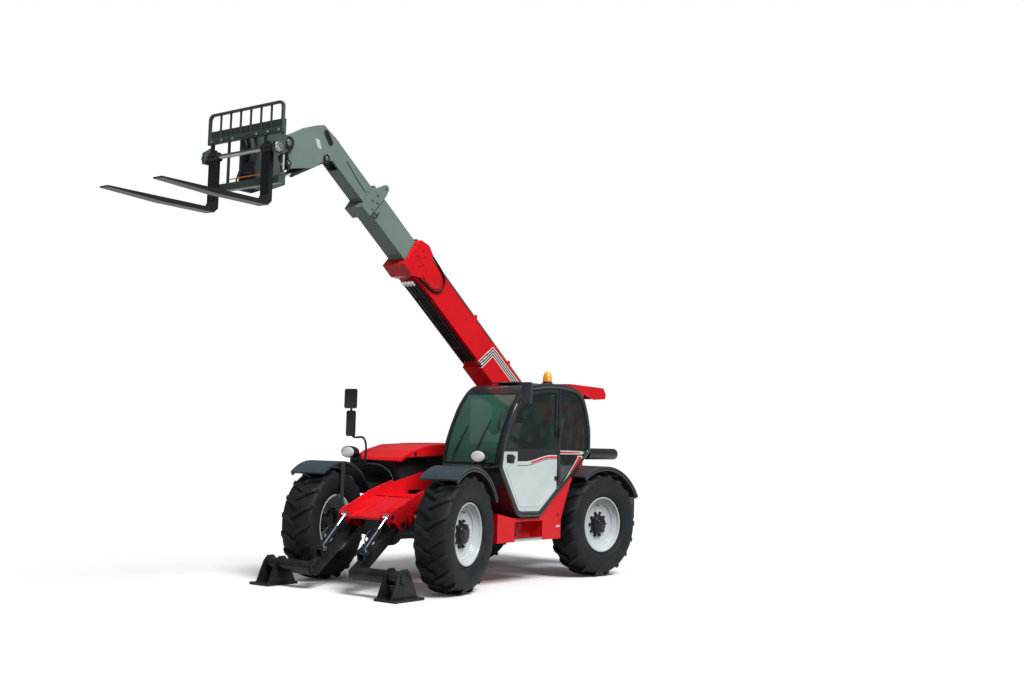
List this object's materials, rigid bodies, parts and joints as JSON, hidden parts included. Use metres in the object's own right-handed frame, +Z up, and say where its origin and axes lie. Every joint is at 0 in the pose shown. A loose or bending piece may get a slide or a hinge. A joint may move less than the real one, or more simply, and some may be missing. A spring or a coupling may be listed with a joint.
{
  "type": "telehandler",
  "caption": "Compact telehandler with a telescopic boom, pallet forks on a tilting carriage, four steered wheels, side cab and two front stabilisers.",
  "frame": {"origin": "Centre of the whole machine's footprint, on the ground.", "axes": "+X forward along the forks, +Y to the machine's left, +Z up"},
  "size_m": [7.5774, 2.5038, 4.768],
  "materials": {
    "axle": "dark painted casting",
    "beacon": "amber lens on a black base",
    "black_trim": "black plastic",
    "boom_pale": "grey-green paint",
    "cab_frame": "dark grey paint",
    "cab_trim": "black moulded plastic",
    "carriage": "grey-green paint",
    "chrome": "hard chrome",
    "cylinder": "blue-black paint",
    "dark_cast": "dark painted casting",
    "door_silver": "silver-grey paint",
    "engine": "cast block",
    "fender": "dark blue-grey moulded plastic",
    "fork": "black paint, worn at the tips",
    "glass": "tinted safety glass",
    "hood_black": "black panel",
    "pin": "turned steel",
    "red": "glossy red paint",
    "rim": "silver-white paint",
    "seat": "dark upholstery with red parts",
    "stabiliser": "black paint",
    "tyre": "moulded rubber, matt"
  },
  "bodies": {
    "chassis": {"axle_front": "axle", "axle_rear": "axle", "beacon": "beacon", "boom_tower": "red", "cab": "cab_frame", "cab_fittings": "cab_trim", "cab_glass": "glass", "chassis": "red", "chassis_pins": "pin", "counterweight": "dark_cast", "engine": "engine", "headlamps": "black_trim", "hood_body": "hood_black", "mirrors": "black_trim", "nose": "red", "rear_canister": "black_trim", "seat": "seat", "side_tank": "red"},
    "carriage": {"backrest": "carriage", "carriage": "carriage", "carriage_pins": "pin"},
    "boom_outer": {"boom_heel": "red", "boom_outer": "red"},
    "boom_inner": {"boom_inner": "boom_pale", "head_pins": "pin"},
    "boom_middle": {"boom_middle": "boom_pale"},
    "door": {"door": "door_silver", "door_glass": "glass"},
    "knuckle_front_left": {"fender_front_left": "fender", "knuckle_front_left": "axle"},
    "knuckle_front_right": {"fender_front_right": "fender", "knuckle_front_right": "axle"},
    "knuckle_rear_left": {"fender_rear_left": "fender", "knuckle_rear_left": "axle"},
    "knuckle_rear_right": {"fender_rear_right": "fender", "knuckle_rear_right": "axle"},
    "fork_left": {"fork_left": "fork"},
    "fork_right": {"fork_right": "fork"},
    "hood_lid": {"hood_lid": "red"},
    "lift_barrel": {"lift_barrel": "cylinder"},
    "lift_rod": {"lift_rod": "chrome"},
    "wheel_front_left": {"rim_front_left": "rim", "tyre_front_left": "tyre"},
    "wheel_front_right": {"rim_front_right": "rim", "tyre_front_right": "tyre"},
    "wheel_rear_left": {"rim_rear_left": "rim", "tyre_rear_left": "tyre"},
    "wheel_rear_right": {"rim_rear_right": "rim", "tyre_rear_right": "tyre"},
    "stabiliser_barrel_left": {"stabiliser_barrel_left": "cylinder"},
    "stabiliser_barrel_right": {"stabiliser_barrel_right": "cylinder"},
    "stabiliser_foot_left": {"stabiliser_foot_left": "stabiliser"},
    "stabiliser_foot_right": {"stabiliser_foot_right": "stabiliser"},
    "stabiliser_leg_left": {"stabiliser_leg_left": "stabiliser"},
    "stabiliser_leg_right": {"stabiliser_leg_right": "stabiliser"},
    "stabiliser_rod_left": {"stabiliser_rod_left": "chrome"},
    "stabiliser_rod_right": {"stabiliser_rod_right": "chrome"},
    "tilt_barrel": {"tilt_barrel": "cylinder"},
    "tilt_rod": {"tilt_rod": "chrome"}
  },
  "joints": [
    {"name": "front_left_steer", "type": "hinge", "parent": "chassis", "child": "knuckle_front_left", "pos_m": [0.30625, 0.83997, 0.62], "axis": [0, 0, 1], "range_deg": [-40.5, 15.5]},
    {"name": "front_right_steer", "type": "hinge", "parent": "chassis", "child": "knuckle_front_right", "pos_m": [0.30625, -0.81003, 0.62], "axis": [0, 0, 1], "range_deg": [-40.5, 15.5]},
    {"name": "rear_left_steer", "type": "hinge", "parent": "chassis", "child": "knuckle_rear_left", "pos_m": [-2.38375, 0.83997, 0.62], "axis": [0, 0, 1], "range_deg": [-20, 36]},
    {"name": "rear_right_steer", "type": "hinge", "parent": "chassis", "child": "knuckle_rear_right", "pos_m": [-2.38375, -0.81003, 0.62], "axis": [0, 0, 1], "range_deg": [-20, 36]},
    {"name": "front_left_wheel", "type": "hinge", "parent": "knuckle_front_left", "child": "wheel_front_left", "pos_m": [0.28244, 0.94737, 0.62], "axis": [-0.2164, 0.9763, 0], "continuous": true},
    {"name": "front_right_wheel", "type": "hinge", "parent": "knuckle_front_right", "child": "wheel_front_right", "pos_m": [0.33006, -0.91742, 0.62], "axis": [-0.2164, 0.9763, 0], "continuous": true},
    {"name": "rear_left_wheel", "type": "hinge", "parent": "knuckle_rear_left", "child": "wheel_rear_left", "pos_m": [-2.36844, 0.9489, 0.62], "axis": [0.1392, 0.9903, 0], "continuous": true},
    {"name": "rear_right_wheel", "type": "hinge", "parent": "knuckle_rear_right", "child": "wheel_rear_right", "pos_m": [-2.39906, -0.91896, 0.62], "axis": [0.1392, 0.9903, 0], "continuous": true},
    {"name": "boom_lift", "type": "hinge", "parent": "chassis", "child": "boom_outer", "pos_m": [-3.08375, 0.01497, 2], "axis": [0, -1, 0], "range_deg": [-38, 28]},
    {"name": "boom_extend", "type": "slide", "parent": "boom_outer", "child": "boom_middle", "axis": [0.8049, 0, 0.5934], "range_m": [-0.55, 1.45]},
    {"name": "boom_tip_extend", "type": "slide", "parent": "boom_middle", "child": "boom_inner", "axis": [0.8049, 0, 0.5934], "range_m": [-0.55, 1.45]},
    {"name": "carriage_tilt", "type": "hinge", "parent": "boom_inner", "child": "carriage", "pos_m": [2.07125, 0.01497, 4.47], "axis": [0, 1, 0], "range_deg": [-40, 35]},
    {"name": "fork_left_slide", "type": "slide", "parent": "carriage", "child": "fork_left", "axis": [0, 1, 0], "range_m": [-0.26, 0.04]},
    {"name": "fork_right_slide", "type": "slide", "parent": "carriage", "child": "fork_right", "axis": [0, -1, 0], "range_m": [-0.26, 0.04]},
    {"name": "lift_barrel_swing", "type": "hinge", "parent": "chassis", "child": "lift_barrel", "pos_m": [-3.08375, 0.01497, 1.22], "axis": [0, -1, 0], "range_deg": [-33.76, 25.14]},
    {"name": "lift_rod_stroke", "type": "slide", "parent": "lift_barrel", "child": "lift_rod", "axis": [0.94, 0, 0.3412], "range_m": [-0.488, 0.362]},
    {"name": "tilt_barrel_swing", "type": "hinge", "parent": "boom_inner", "child": "tilt_barrel", "pos_m": [1.52125, 0.01497, 4.425], "axis": [0, 1, 0], "range_deg": [-14.78, 13.06]},
    {"name": "tilt_rod_stroke", "type": "slide", "parent": "tilt_barrel", "child": "tilt_rod", "axis": [0.8814, 0, -0.4724], "range_m": [-0.184, 0.209]},
    {"name": "stabiliser_left", "type": "hinge", "parent": "chassis", "child": "stabiliser_leg_left", "pos_m": [0.46625, 0.31497, 0.69], "axis": [0, -1, 0], "range_deg": [-14, 40]},
    {"name": "stabiliser_foot_left_tilt", "type": "hinge", "parent": "stabiliser_leg_left", "child": "stabiliser_foot_left", "pos_m": [1.08625, 0.91497, 0.215], "axis": [0, -1, 0], "range_deg": [-15, 15]},
    {"name": "stabiliser_barrel_left_swing", "type": "hinge", "parent": "stabiliser_leg_left", "child": "stabiliser_barrel_left", "pos_m": [0.98625, 0.31497, 0.42], "axis": [0, -1, 0], "range_deg": [-4.46, 10.87]},
    {"name": "stabiliser_rod_left_stroke", "type": "slide", "parent": "stabiliser_barrel_left", "child": "stabiliser_rod_left", "axis": [-0.7071, 0, 0.7071], "range_m": [-0.112, 0.046]},
    {"name": "stabiliser_right", "type": "hinge", "parent": "chassis", "child": "stabiliser_leg_right", "pos_m": [0.46625, -0.28503, 0.69], "axis": [0, -1, 0], "range_deg": [-14, 40]},
    {"name": "stabiliser_foot_right_tilt", "type": "hinge", "parent": "stabiliser_leg_right", "child": "stabiliser_foot_right", "pos_m": [1.08625, -0.88503, 0.215], "axis": [0, -1, 0], "range_deg": [-15, 15]},
    {"name": "stabiliser_barrel_right_swing", "type": "hinge", "parent": "stabiliser_leg_right", "child": "stabiliser_barrel_right", "pos_m": [0.98625, -0.28503, 0.42], "axis": [0, -1, 0], "range_deg": [-4.46, 10.87]},
    {"name": "stabiliser_rod_right_stroke", "type": "slide", "parent": "stabiliser_barrel_right", "child": "stabiliser_rod_right", "axis": [-0.7071, 0, 0.7071], "range_m": [-0.112, 0.046]},
    {"name": "door_hinge", "type": "hinge", "parent": "chassis", "child": "door", "pos_m": [-1.51175, 1.00697, 1.44], "axis": [0, 0, 1], "range_deg": [0, 85]},
    {"name": "hood_lid_hinge", "type": "hinge", "parent": "chassis", "child": "hood_lid", "pos_m": [-1.90375, -0.62503, 1.5], "axis": [0, -1, 0], "range_deg": [0, 55]}
  ],
  "couplings": [
    {"joint": "front_right_steer", "follows": "front_left_steer", "ratio": 1},
    {"joint": "rear_right_steer", "follows": "rear_left_steer", "ratio": 1},
    {"joint": "boom_tip_extend", "follows": "boom_extend", "ratio": 1},
    {"joint": "lift_barrel_swing", "follows": "boom_lift", "ratio": 0.862},
    {"joint": "lift_rod_stroke", "follows": "boom_lift", "m_per_rad": 0.721},
    {"joint": "tilt_barrel_swing", "follows": "carriage_tilt", "ratio": 0.34455},
    {"joint": "tilt_rod_stroke", "follows": "carriage_tilt", "m_per_rad": -0.2849},
    {"joint": "stabiliser_barrel_left_swing", "follows": "stabiliser_left", "ratio": 0.24685},
    {"joint": "stabiliser_rod_left_stroke", "follows": "stabiliser_left", "m_per_rad": -0.14595},
    {"joint": "stabiliser_barrel_right_swing", "follows": "stabiliser_right", "ratio": 0.24685},
    {"joint": "stabiliser_rod_right_stroke", "follows": "stabiliser_right", "m_per_rad": -0.14595}
  ]
}
